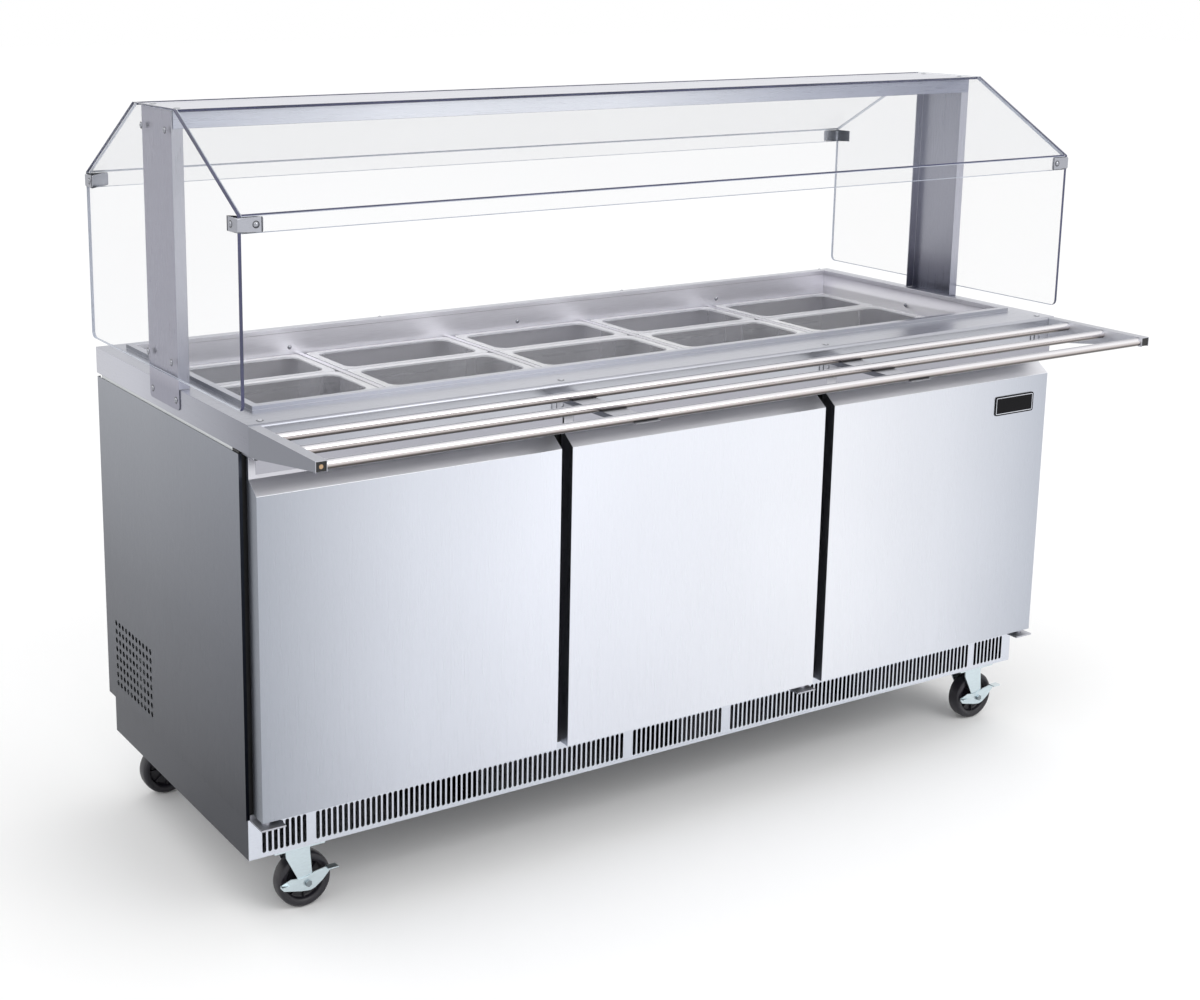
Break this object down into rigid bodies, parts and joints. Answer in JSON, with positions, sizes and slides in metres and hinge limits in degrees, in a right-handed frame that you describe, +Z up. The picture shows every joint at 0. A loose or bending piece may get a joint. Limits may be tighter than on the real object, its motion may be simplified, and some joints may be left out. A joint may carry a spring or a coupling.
{
  "type": "mobile salad bar",
  "caption": "Mobile refrigerated salad bar with pans in a stainless counter, a glass guard on posts, cabinet doors below, a tubular tray slide and swivel casters.",
  "frame": {"origin": "on the floor, under the middle of the whole salad bar with its tray slide", "axes": "+X along the counter, +Y towards the back away from the doors, +Z up"},
  "size_m": [1.8555, 0.9298, 1.3777],
  "materials": {
    "stainless_sheet": "brushed",
    "door_steel": "fine brushed",
    "pan_plastic": "clear moulded",
    "polished_tube": "polished",
    "zinc_plate": "zinc plated",
    "galvanised_sheet": "galvanised",
    "glass": "clear",
    "black_trim": "matte",
    "cabinet_lining": "smooth",
    "door_lining": "smooth",
    "seal_rubber": "soft",
    "wheel_rubber": "hard rubber",
    "coil_fins": "plain",
    "compressor_black": "painted",
    "fan_plastic": "moulded",
    "shelf_wire": "coated"
  },
  "bodies": {
    "cabinet": {"countertop": "stainless_sheet", "pan_well": "stainless_sheet", "pan_support_bars": "stainless_sheet", "side_panel_left": "stainless_sheet", "side_panel_right": "stainless_sheet", "front_grille": "stainless_sheet", "hinge_brackets": "stainless_sheet", "post_left": "stainless_sheet", "post_right": "stainless_sheet", "top_beam": "stainless_sheet", "glass_clips": "stainless_sheet", "dome_screws": "stainless_sheet", "tray_brackets": "stainless_sheet", "tray_tubes": "polished_tube", "caster_plates": "zinc_plate", "back_panel": "galvanised_sheet", "base_frame": "galvanised_sheet", "fan_shroud": "galvanised_sheet", "evaporator_cover": "galvanised_sheet", "drain_pan": "galvanised_sheet", "shelf_strips": "galvanised_sheet", "end_glass_left": "glass", "end_glass_right": "glass", "front_glass": "glass", "rear_glass": "glass", "front_frame": "black_trim", "thermostat": "black_trim", "insulated_tub": "cabinet_lining", "evaporator_coil": "coil_fins", "condenser_coil": "coil_fins", "compressor": "compressor_black", "fan_motors": "compressor_black", "wire_shelves": "shelf_wire"},
    "door_left": {"door_left": "door_steel", "door_left_liner": "door_lining", "door_left_seal": "seal_rubber"},
    "door_centre": {"door_centre": "door_steel", "door_centre_liner": "door_lining", "door_centre_seal": "seal_rubber"},
    "door_right": {"door_right": "door_steel", "door_right_liner": "door_lining", "door_right_seal": "seal_rubber", "badge_plate": "black_trim"},
    "pans_1": {"pans_station_1": "pan_plastic"},
    "pans_2": {"pans_station_2": "pan_plastic"},
    "pans_3": {"pans_station_3": "pan_plastic"},
    "pans_4": {"pans_station_4": "pan_plastic"},
    "pans_5": {"pans_station_5": "pan_plastic"},
    "fork_front_left": {"caster_fork_front_left": "zinc_plate"},
    "wheel_front_left": {"caster_wheel_front_left": "wheel_rubber"},
    "fork_front_right": {"caster_fork_front_right": "zinc_plate"},
    "wheel_front_right": {"caster_wheel_front_right": "wheel_rubber"},
    "fork_rear_left": {"caster_fork_rear_left": "zinc_plate"},
    "wheel_rear_left": {"caster_wheel_rear_left": "wheel_rubber"},
    "fork_rear_right": {"caster_fork_rear_right": "zinc_plate"},
    "wheel_rear_right": {"caster_wheel_rear_right": "wheel_rubber"},
    "pedal_front_left": {"brake_pedal_front_left": "zinc_plate"},
    "pedal_front_right": {"brake_pedal_front_right": "zinc_plate"},
    "condenser_fan": {"condenser_fan": "fan_plastic"},
    "evaporator_fan": {"evaporator_fan": "fan_plastic"}
  },
  "joints": [
    {"name": "door_left_hinge", "type": "hinge", "parent": "cabinet", "child": "door_left", "pos_m": [-0.8898, -0.2111, 0.2148], "axis": [0, 0, -1], "range_deg": [0, 100]},
    {"name": "door_centre_hinge", "type": "hinge", "parent": "cabinet", "child": "door_centre", "pos_m": [0.2796, -0.2111, 0.2148], "axis": [0, 0, 1], "range_deg": [0, 100]},
    {"name": "door_right_hinge", "type": "hinge", "parent": "cabinet", "child": "door_right", "pos_m": [0.8898, -0.2111, 0.2148], "axis": [0, 0, 1], "range_deg": [0, 100]},
    {"name": "pans_1_lift", "type": "slide", "parent": "cabinet", "child": "pans_1", "axis": [0, 0, 1], "range_m": [0, 0.2]},
    {"name": "pans_2_lift", "type": "slide", "parent": "cabinet", "child": "pans_2", "axis": [0, 0, 1], "range_m": [0, 0.2]},
    {"name": "pans_3_lift", "type": "slide", "parent": "cabinet", "child": "pans_3", "axis": [0, 0, 1], "range_m": [0, 0.2]},
    {"name": "pans_4_lift", "type": "slide", "parent": "cabinet", "child": "pans_4", "axis": [0, 0, 1], "range_m": [0, 0.2]},
    {"name": "pans_5_lift", "type": "slide", "parent": "cabinet", "child": "pans_5", "axis": [0, 0, 1], "range_m": [0, 0.2]},
    {"name": "front_left_swivel", "type": "hinge", "parent": "cabinet", "child": "fork_front_left", "pos_m": [-0.811, -0.1446, 0.1051], "axis": [0, 0, 1], "continuous": true},
    {"name": "front_left_roll", "type": "hinge", "parent": "fork_front_left", "child": "wheel_front_left", "pos_m": [-0.793, -0.1446, 0.051], "axis": [0, 1, 0], "continuous": true},
    {"name": "front_left_brake", "type": "hinge", "parent": "fork_front_left", "child": "pedal_front_left", "pos_m": [-0.793, -0.1446, 0.051], "axis": [0, 1, 0], "range_deg": [0, 15]},
    {"name": "front_right_swivel", "type": "hinge", "parent": "cabinet", "child": "fork_front_right", "pos_m": [0.811, -0.1446, 0.1051], "axis": [0, 0, 1], "continuous": true},
    {"name": "front_right_roll", "type": "hinge", "parent": "fork_front_right", "child": "wheel_front_right", "pos_m": [0.829, -0.1446, 0.051], "axis": [0, 1, 0], "continuous": true},
    {"name": "front_right_brake", "type": "hinge", "parent": "fork_front_right", "child": "pedal_front_right", "pos_m": [0.829, -0.1446, 0.051], "axis": [0, 1, 0], "range_deg": [0, 15]},
    {"name": "rear_left_swivel", "type": "hinge", "parent": "cabinet", "child": "fork_rear_left", "pos_m": [-0.811, 0.3944, 0.1051], "axis": [0, 0, 1], "continuous": true},
    {"name": "rear_left_roll", "type": "hinge", "parent": "fork_rear_left", "child": "wheel_rear_left", "pos_m": [-0.829, 0.3944, 0.051], "axis": [0, 1, 0], "continuous": true},
    {"name": "rear_right_swivel", "type": "hinge", "parent": "cabinet", "child": "fork_rear_right", "pos_m": [0.811, 0.3944, 0.1051], "axis": [0, 0, 1], "continuous": true},
    {"name": "rear_right_roll", "type": "hinge", "parent": "fork_rear_right", "child": "wheel_rear_right", "pos_m": [0.793, 0.3944, 0.051], "axis": [0, 1, 0], "continuous": true},
    {"name": "evaporator_fan_spin", "type": "hinge", "parent": "cabinet", "child": "evaporator_fan", "pos_m": [-0.5902, 0.3351, 0.645], "axis": [0, 1, 0], "continuous": true},
    {"name": "condenser_fan_spin", "type": "hinge", "parent": "cabinet", "child": "condenser_fan", "pos_m": [-0.8262, 0.3224, 0.2227], "axis": [1, 0, 0], "continuous": true}
  ]
}
